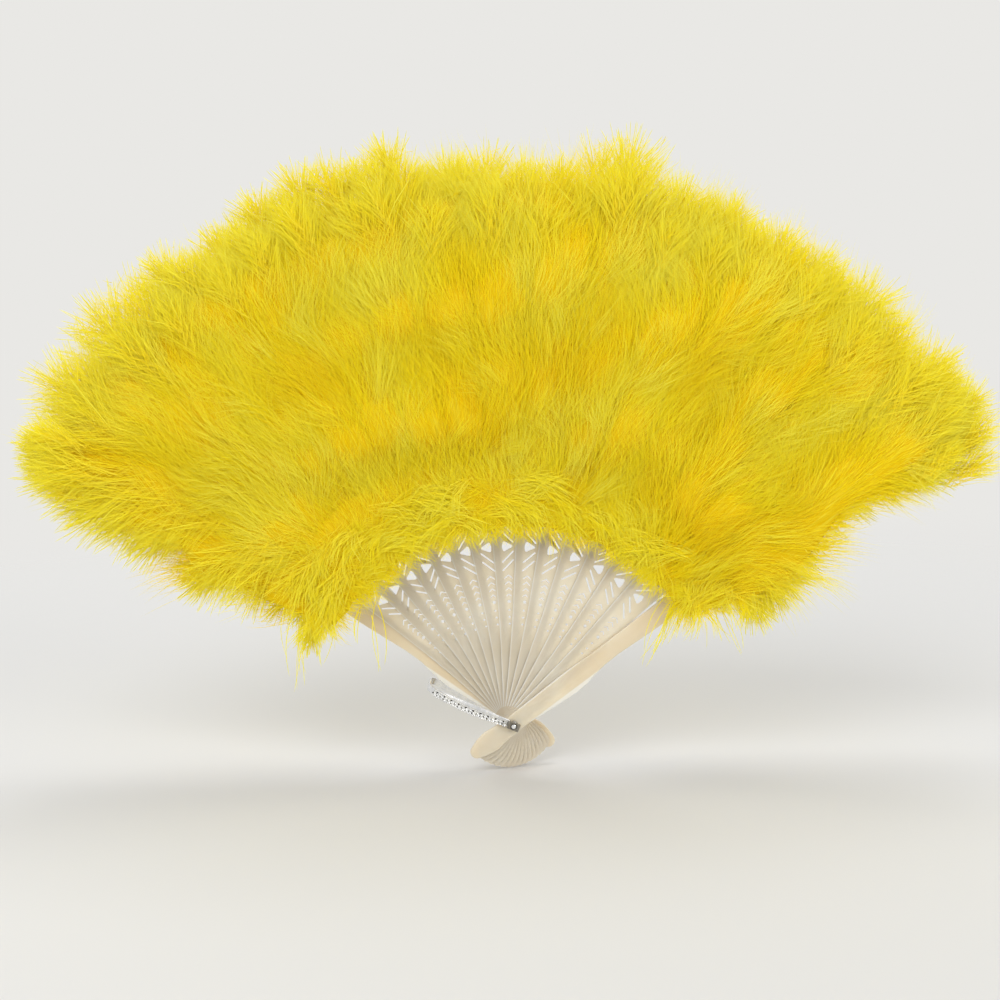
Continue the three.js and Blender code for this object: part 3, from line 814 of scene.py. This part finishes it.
class Plume:
    """The measures of one plume: its blade's angle, its guard's hand or 0, half its layer, its widths."""

    def __init__(self, i):
        self.theta = blade_angle(i)
        self.side = -1 if i == 0 else 1 if i == LAST else 0
        self.layer = 0.5 * blade_layer(i)

    def width(self, hand, distance):
        """How wide the dense down is on one hand. A stick's just overlaps its neighbour's."""
        if hand == self.side:
            return np.interp(distance, GUARD_PLACES, GUARD_WIDTHS[hand])
        return distance * HALF_SHARE + OVERLAP

    def across(self, share, distance):
        """How far across a place is that has this share of the width on its own hand."""
        return np.where(share < 0, self.width(-1, distance), self.width(1, distance)) * share

    def height(self, points):
        """How far the face of the dense down stands from the middle of the fan at a place."""
        distance = np.linalg.norm(points[:, [0, 2]], axis=1)
        skirt = np.interp(distance, [100, 134, 140], [SKIRT_FACES[1], SKIRT_FACES[1], 0])
        high = np.maximum(depth_at(distance) * lumps(points, self.theta), skirt)
        if self.side:
            share = np.clip(points[:, 0] * self.side / self.width(self.side, distance), 0, 0.995)
            high = high * (1 - share**4.8) ** 0.21
        return high


def face_tufts(rng, own, face, count, barbs):
    """Tufts all over one face, which lie along it in soft drifts. A few stand up as wisps."""
    count = round(count * (GUARD_TUFTS if own.side else 1))
    spread = (rng.random(2) + np.arange(count)[:, None] * EVEN_STEPS) % 1
    distance = np.sqrt(TUFTS_FROM**2 + (TUFTS_TO**2 - TUFTS_FROM**2) * spread[:, 0])
    share = 2 * spread[:, 1] - 1
    roots = np.zeros((count, 3))
    roots[:, 0] = own.across(share, distance) * 0.98
    roots[:, 2] = distance
    wisp = rng.random(count) < WISP_SHARE
    turn = 0.6 * drift(roots, own.theta, 0) + rng.normal(0, 0.2, count)
    # Beside a guard they turn outward
    turn = turn + own.side * np.clip(share * own.side, 0, 1) * np.interp(distance, [110, 250], [1.0, 0.5])
    length = rng.uniform(24, 38, count) * np.interp(distance, [106, 150, 256], [0.7, 1, 0.85])
    # They follow the slope of the dense down below them
    ahead = heading_of(turn, np.zeros(count), face) * (0.5 * length)[:, None]
    heights = [own.height(roots + k * ahead) for k in range(3)]
    roots[:, 1] = own.layer + face * np.maximum(heights[0] - 1.2, 2)
    slopes = [np.arctan((heights[k + 1] - heights[k]) / (0.5 * length)) for k in range(2)]
    slopes = [np.clip(slope, -0.5, 0.5) for slope in slopes]
    first_lift = np.where(wisp, rng.uniform(0.4, 0.6, count), rng.uniform(0.14, 0.36, count))
    last_lift = np.where(wisp, rng.uniform(0, 0.3, count), rng.uniform(-0.16, 0.06, count))
    lifts = (slopes[0] + first_lift, slopes[1] + last_lift)
    curl = rng.normal(0, 0.22, count) + 0.3 * drift(roots, own.theta, 1)
    curl = curl + np.where(wisp, rng.normal(0, 0.4, count), 0)
    # Wisps and the tufts near the rim are paler: a painted highlight where they catch the light
    tone = 0.48 + 0.24 * drift(roots, own.theta, 2) + rng.normal(0, 0.1, count) + np.where(wisp, 0.3, 0)
    tone = tone + np.interp(distance, [190, 257], [0, 0.3])
    return tufts(rng, roots, turn, lifts, curl, length, tone, face, barbs)


def curl_roots(rng, own, face, count, first, last, heights):
    """Random places on the skirt between two distances, at heights between two others."""
    roots = np.zeros((count, 3))
    roots[:, 2] = rng.uniform(first, last, count)
    roots[:, 0] = own.across(rng.uniform(-1, 1, count), roots[:, 2])
    roots[:, 1] = face * rng.uniform(*heights, count) + SKIRT_SHIFT * own.layer
    return roots


def collar_tufts(rng, own, face, count):
    """Short curly tufts that hang over the pierced field."""
    roots = curl_roots(rng, own, face, count, COLLAR_FROM, COLLAR_TO, (14.3, 16.5))
    back = np.interp(roots[:, 2], [99, 110, 124], [math.pi, 2.4, 0.8])
    turn = back * rng.choice([-1, 1], count) + rng.normal(0, 0.5, count)
    room = (roots[:, 2] - COLLAR_END) / np.maximum(-np.cos(turn), 0.3)
    length = np.minimum(rng.uniform(11, 19, count), np.maximum(room, 7))
    curl = rng.normal(0, 0.7, count)
    lifts = (rng.uniform(0.2, 0.7, count), rng.uniform(-0.5, 0.1, count))
    tone = 0.55 + rng.normal(0, 0.12, count)
    return tufts(rng, roots, turn, lifts, curl, length, tone, face, 20, 0.3, 1.7, 0.11)


def ringlets(rng, own, face, count):
    """Silky ringlets that sweep to one side and hang over the edge."""
    roots = curl_roots(rng, own, face, count, RINGLETS_FROM, RINGLETS_TO, (16, 17.5))
    sweep = np.sign(drift(roots, own.theta, 1) + rng.normal(0, 0.25, count))
    turn = sweep * rng.uniform(1.1, 2.1, count)
    curl = sweep * rng.uniform(0.5, 1.5, count)
    length = np.minimum(rng.uniform(18, 30, count), (roots[:, 2] - RINGLETS_END) * 1.1)
    lifts = (rng.uniform(0.25, 0.5, count), rng.uniform(-0.45, -0.1, count))
    tone = 0.72 + rng.normal(0, 0.12, count)
    return tufts(rng, roots, turn, lifts, curl, length, tone, face, 12, 0.16, 1.3, 0.17)


def rim_ends(rng, i, own, fine, long):
    """Adds the feather ends at the rim that are nearest to a blade: whole ones in the middle of the depth,
    and shorter ones in front and behind."""
    low = (blade_angle(i - 1) - own.theta) / 2 if i else -20
    high = (blade_angle(i + 1) - own.theta) / 2 if i < LAST else 20
    for angle, reach, size in RIM_LOBES:
        flare = WIDE_FLARE if abs(angle) < WIDE_ANGLE else 1.0
        for y, back, shift, count, bold in RIM_LAYERS:
            turn = angle + shift - own.theta
            if not low < turn <= high:
                continue
            turn = math.radians(turn)
            spot = reach - back + rng.normal(0, 1.5)
            tip = np.array([spot * math.sin(turn), y + own.layer, spot * math.cos(turn)])
            way = turn + rng.normal(0, 0.1)
            fine.append(lobe(rng, tip, way, size, count, False, flare))
            long.append(lobe(rng, tip, way, size, bold, True, flare))


def side_ends(rng, own, fine, long):
    """Adds the feather ends beside a guard, which sag a little."""
    fall = math.radians(own.theta)
    sag = SAG * np.array([math.sin(fall), 0.0, -math.cos(fall)])
    for along, out, turn, size in SIDE_LOBES[own.side]:
        for y, back, count, bold in SIDE_LAYERS:
            way = own.side * math.radians(turn + rng.normal(0, 4))
            tip = np.array([own.side * (out - back), y, along + rng.normal(0, 1.5)])
            fine.append(lobe(rng, tip, way, size, count, False, 1.0, sag))
            long.append(lobe(rng, tip, way, size, bold, True, 1.0, sag))


def plume(i):
    """All the down of one blade."""
    rng = np.random.default_rng(1000 + i)
    own = Plume(i)
    depth = depth_at(HEART_STATIONS)
    parts = [heart(own, HEART_STATIONS, own.layer - depth, own.layer + depth)]
    fine, long = [], []
    for face, tuft_count, barbs, collar_count, ringlet_count in FACES:
        near, far = sorted((face * SKIRT_FACES[0], face * SKIRT_FACES[1]))
        level = np.full(len(SKIRT_STATIONS), SKIRT_SHIFT * own.layer)
        parts.append(heart(own, SKIRT_STATIONS, near + level, far + level))
        fine.append(face_tufts(rng, own, face, tuft_count, barbs))
        fine.append(collar_tufts(rng, own, face, collar_count))
        long.append(ringlets(rng, own, face, ringlet_count))
    rim_ends(rng, i, own, fine, long)
    if own.side:
        side_ends(rng, own, fine, long)
        parts.append(strand_arrays(rng, hanging(rng, STRAYS[own.side], own.theta), HANGING_RINGS, 0.6))
    parts.append(strand_arrays(rng, gathered(fine), FINE_RINGS))
    parts.append(strand_arrays(rng, gathered(long), LONG_RINGS, 0.5))
    return mesh_from(f"{BLADES[i]}_down", parts, own.theta)


for i, name in enumerate(BLADES):
    down, slots = plume(i)
    dress(down, DOWN, "marabou", f"{name}_blade", f"{name}_plume")
    down.data.materials.append(PACKED)
    down.data.polygons.foreach_set("material_index", slots)
    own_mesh(down)

# Linking thread

THREAD_FRONT = 1.1
THREAD_TAIL = 3.3
THREAD_STEPS = 620
PLY_RADIUS = 0.2
PLY_OFFSET = 0.17
PLY_TWIST = 2.2


def thread_route():
    """The thread's middle line: just in front of each shaft, with a tail past each guard's."""
    knots = []
    for i in range(LAST + 1):
        turn = math.radians(blade_angle(i))
        ends = {0: (-THREAD_TAIL, 0), LAST: (0, THREAD_TAIL)}
        for across in ends.get(i, (0,)):
            x = THREAD_PLACE * math.sin(turn) + across * math.cos(turn)
            z = THREAD_PLACE * math.cos(turn) - across * math.sin(turn)
            knots.append((x, blade_layer(i) - THREAD_FRONT, z))
    knots = np.array(knots)
    spots = np.linspace(0, len(knots) - 1, THREAD_STEPS)
    return np.stack([np.interp(spots, np.arange(len(knots)), knots[:, k]) for k in range(3)], axis=1)


def add_thread():
    """Two twisted plies, with a wound knot at each end."""
    line = thread_route()
    heading = unit(np.gradient(line, axis=0))
    level = unit(np.cross(heading, np.array([0.0, 1.0, 0.0])))
    other = np.cross(heading, level)
    gone = np.concatenate([[0], np.cumsum(np.linalg.norm(np.diff(line, axis=0), axis=1))])
    plies = []
    for start in (0, math.pi):
        turn = 2 * math.pi * gone / PLY_TWIST + start
        ply = line + PLY_OFFSET * (np.cos(turn)[:, None] * level + np.sin(turn)[:, None] * other)
        plies.append(tube(ply, PLY_RADIUS, "ply", 1))
    for end in (line[0], line[-1]):
        turns = np.linspace(0, 2 * math.pi * 3, 40)
        height = np.linspace(-0.45, 0.45, 40)
        size = 0.42 * np.sqrt(1 - (height / 0.75) ** 2)
        coil = np.stack([size * np.cos(turns), size * np.sin(turns), height], axis=1) + end
        plies.append(tube(coil, PLY_RADIUS, "knot", 1))
    thread = joined(plies, "twisted_thread")
    smooth(thread, 60)
    dress(thread, COTTON, "thread", "rivet", "linking_thread")
    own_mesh(thread)


add_thread()

# Bail, rivet and crystal

BAIL_TURN = Matrix.Rotation(math.radians(BAIL_ANGLE), 4, "Y")
# The stretch of the strap that has the relief, and how many scrolls fit it
RELIEF_FROM, RELIEF_TO = 3.4, 42.6
SCROLLS = 10
# The ground's cross section: across the strap and out from its face
GROUND = ((-1.45, -0.05), (-1.3, 0.04), (0.8, 0.04), (0.8, -0.05))
# Scallops of one scroll: [place along it, size], and pits: [place across, place along it, length]
SCALLOPS = ((-0.25, 0.82), (0.27, 0.66))
PITS = ((0.42, 0.0, 0.5), (-0.5, 0.5, 0.42), (-0.95, 0.02, 0.34))


def bow(z):
    """How far the strap bends aside at a distance along it."""
    return -BAIL_BOW * math.sin(math.pi * z / BAIL_REACH)


def add_relief():
    """Bright cast relief on the front leg: a smooth rail above, scrolls below it and a scalloped lower edge,
    with dark pits between, which are painted shade in its hollows."""
    face = -STRAP_FACE
    stops = np.linspace(RELIEF_FROM, RELIEF_TO, 48)
    wires = [tube([(bow(z) + 1.12, face + 0.1, z) for z in stops], 0.46, "rail", 3)]
    shell = bmesh.new()
    rows = [
        [shell.verts.new(((bow(z) + x) * MM, (face - y) * MM, z * MM)) for x, y in GROUND] for z in stops
    ]
    for low, high in zip(rows, rows[1:]):
        for j in range(4):
            shell.faces.new((low[j], low[(j + 1) % 4], high[(j + 1) % 4], high[j]))
    shell.faces.new(rows[0][::-1])
    shell.faces.new(rows[-1])
    ground = solid_from(shell, "strap_ground")
    pitch = (RELIEF_TO - RELIEF_FROM) / SCROLLS
    dark = []
    for k in range(SCROLLS):
        middle = RELIEF_FROM + pitch * (k + 0.5)
        hand = 1 if k % 2 == 0 else -1
        # An S scroll
        for end in (-1, 1):
            curl = []
            for share in np.arange(20) / 19:
                size = 0.86 * (1 - 0.7 * share)
                turn = math.pi * (2.4 * share) - math.pi / 2
                x = -0.5 + hand * end * size * math.cos(turn)
                z = end * (pitch * 0.25 + size * math.sin(turn))
                curl.append((bow(middle + z) + x, face - 0.06, middle + z))
            wires.append(tube(curl, 0.27, "scroll", 1))
        # Scallops under it, of unlike size
        for shift, size in SCALLOPS:
            scallop = []
            for turn in math.pi * np.arange(9) / 8:
                z = middle + shift * pitch - 1.15 * size * math.cos(turn)
                scallop.append((bow(z) - 1.18 - size * 0.75 * math.sin(turn), face + 0.08, z))
            wires.append(tube(scallop, 0.3, "scallop", 1))
        # Dark pits: painted shade between the scrolls and the scallops
        for x, shift, long in PITS:
            z = middle + shift * pitch
            bpy.ops.mesh.primitive_ico_sphere_add(subdivisions=2, radius=MM)
            pit = bpy.context.active_object
            pit.scale = (0.36, 0.1, 1.3 * long)
            pit.rotation_euler = (0, hand * 0.6, 0)
            pit.location = ((bow(z) + x) * MM, (face - 0.05) * MM, z * MM)
            settle(pit)
            dark.append(pit)
    relief, hollows = joined(wires, "strap_relief"), joined(dark, "strap_pits")
    for piece, material in ((relief, CHROME), (ground, CHROME), (hollows, PIT_SHADE)):
        settle(piece, BAIL_TURN)
        dress(piece, material, "chrome", "bail")
    smooth(relief, 60)
    smooth(hollows, 60)


dress(rounded_copy("bail_strap", "strap", 0.22, 2, 40), CHROME, "chrome", "bail", "bail_strap")
add_relief()
dress(rounded_copy("rivet_pin", "rivet", 0.15, 2, 25), CHROME, "chrome", "rivet", "rivet_pin")
dress(rounded_copy("rear_washer", "washer", 0.15, 2), CHROME, "chrome", "rivet", "rear_washer")
dress(rounded_copy("crystal_setting", "setting", 0.25, 2), PEWTER, "dark_setting", "bail", "crystal_setting")

BEAD_RADIUS = 0.24
# The rim of beads reaches this far across the strap and along it
RIM_X, RIM_Z = 1.62, 2.65
# A prong's places out from the middle of the stone, and how far it stands over the rim
PRONG = ((1.2, -0.3), (1.14, 0.25), (0.9, 0.5))


def add_setting_trim():
    """Milled beads round the setting's rim and four prongs over the crystal."""
    front = -(SETTING_FLOOR + CUP_DEPTH)
    spots = [(x, z) for x in np.linspace(-RIM_X, RIM_X, 7) for z in (-RIM_Z, RIM_Z)]
    spots += [(x, z) for z in np.linspace(-RIM_Z, RIM_Z, 11)[1:-1] for x in (-RIM_X, RIM_X)]
    parts = []
    for x, z in spots:
        place = (x * MM, front * MM, z * MM)
        bpy.ops.mesh.primitive_ico_sphere_add(subdivisions=2, radius=BEAD_RADIUS * MM, location=place)
        parts.append(bpy.context.active_object)
        settle(parts[-1])
    for x in (-1, 1):
        for z in (-1, 1):
            parts.append(tube([(x * out, front - over, z * out) for out, over in PRONG], 0.2, "prong", 2))
    trim = joined(parts, "setting_trim")
    settle(trim, BAIL_TURN)
    smooth(trim, 50)
    dress(trim, PEWTER, "dark_setting", "bail")


# The stone's rings from the table down: [radius, height over its seat, corners, turn in corners]
STONE_RINGS = ((0.96, 1.16, 8, 0.0), (1.14, 1.0, 8, 0.5), (1.28, 0.72, 16, 0.0), (1.28, 0.6, 16, 0.0))
CULET_HEIGHT = 0.02


def add_crystal():
    """A brilliant cut: table, crown of eight kites, girdle and pavilion."""
    seat = -(SETTING_FLOOR + FIT_GAP)
    shell = bmesh.new()
    rings = []
    for radius, height, count, shift in STONE_RINGS:
        turns = [2 * math.pi * (k + shift) / count for k in range(count)]
        y = (seat - height) * MM
        spots = [(radius * math.cos(turn) * MM, y, radius * math.sin(turn) * MM) for turn in turns]
        rings.append([shell.verts.new(spot) for spot in spots])
    culet = shell.verts.new((0, (seat - CULET_HEIGHT) * MM, 0))
    table, star, girdle, lower = rings
    shell.faces.new(table)
    for k in range(8):
        after = (k + 1) % 8
        shell.faces.new((table[k], table[after], star[k]))
        shell.faces.new((table[after], star[k], girdle[2 * after], star[after]))
        shell.faces.new((star[k], girdle[2 * k], girdle[2 * k + 1]))
        shell.faces.new((star[k], girdle[2 * k + 1], girdle[(2 * k + 2) % 16]))
    for k in range(16):
        after = (k + 1) % 16
        shell.faces.new((girdle[k], girdle[after], lower[after], lower[k]))
        shell.faces.new((lower[k], lower[after], culet))
    stone = solid_from(shell, "cut_crystal")
    settle(stone, BAIL_TURN)
    dress(stone, GLASS, "crystal", "bail", "crystal")


add_setting_trim()
add_crystal()

# Floor, backdrop and lamps

FLOOR = cad_box[0][2] - 0.0007
FLOOR_RADIUS = 2.4
PALE = "#E9E8E5"


def add_floor():
    """A pale floor that fades into the backdrop, so that no edge shows."""
    bpy.ops.mesh.primitive_circle_add(
        vertices=96, radius=FLOOR_RADIUS, fill_type="NGON", location=(0, 0.2, FLOOR)
    )
    floor = bpy.context.active_object
    floor.name = "floor"
    settle(floor)
    material, tree = new_material("matt_pale_board")
    place = add_node(tree, "TexCoord").outputs["Object"]
    reach = add_node(tree, "VectorMath", {0: place}, operation="LENGTH").outputs["Value"]
    limits = {"From Min": 0.3, "From Max": 1.1}
    fade = add_node(tree, "MapRange", {"Value": reach, **limits}, interpolation_type="SMOOTHSTEP")
    board = add_node(tree, "BsdfDiffuse", {"Color": linear("#DFDEDB")})
    clear = add_node(tree, "BsdfTransparent")
    both = add_node(tree, "MixShader", {"Fac": fade, 1: board, 2: clear})
    add_node(tree, "OutputMaterial", {"Surface": both})
    floor.data.materials.append(material)


def add_lamp(name, place, aim, size, watts):
    """A soft square lamp, turned to face a point."""
    data = bpy.data.lights.new(name, "AREA")
    data.shape = "SQUARE"
    data.size = size
    data.energy = watts
    lamp = linked(name, data)
    lamp.location = place
    lamp.rotation_euler = (Vector(aim) - Vector(place)).to_track_quat("-Z", "Y").to_euler()


def add_world():
    """A dim even sky on the object, and a pale backdrop behind it, in mirrors and through glass."""
    world = bpy.data.worlds.new("studio")
    scene.world = world
    world.use_nodes = True
    tree = world.node_tree
    tree.nodes.clear()
    rays = add_node(tree, "LightPath").outputs
    seen = rays["Is Camera Ray"]
    for kind in ("Glossy", "Transmission"):
        seen = add_node(tree, "Math", {0: seen, 1: rays[f"Is {kind} Ray"]}, operation="MAXIMUM")
    sky = add_node(tree, "Background", {"Color": linear("#F2F4F8"), "Strength": 0.5})
    backdrop = add_node(tree, "Background", {"Color": linear(PALE), "Strength": 1.0})
    both = add_node(tree, "MixShader", {"Fac": seen, 1: sky, 2: backdrop})
    add_node(tree, "OutputWorld", {"Surface": both})


add_floor()
add_world()
add_lamp("key", (-1.0, -2.3, 2.1), (0, 0, 0.13), 2.2, 49)
add_lamp("fill", (1.9, -1.9, 0.9), (0, 0, 0.12), 1.5, 23)
add_lamp("top", (0.2, 0.6, 2.2), (0, 0, 0.16), 1.2, 16)
add_lamp("back", (-0.9, 2.1, 1.1), (0, 0, 0.14), 1.6, 13)
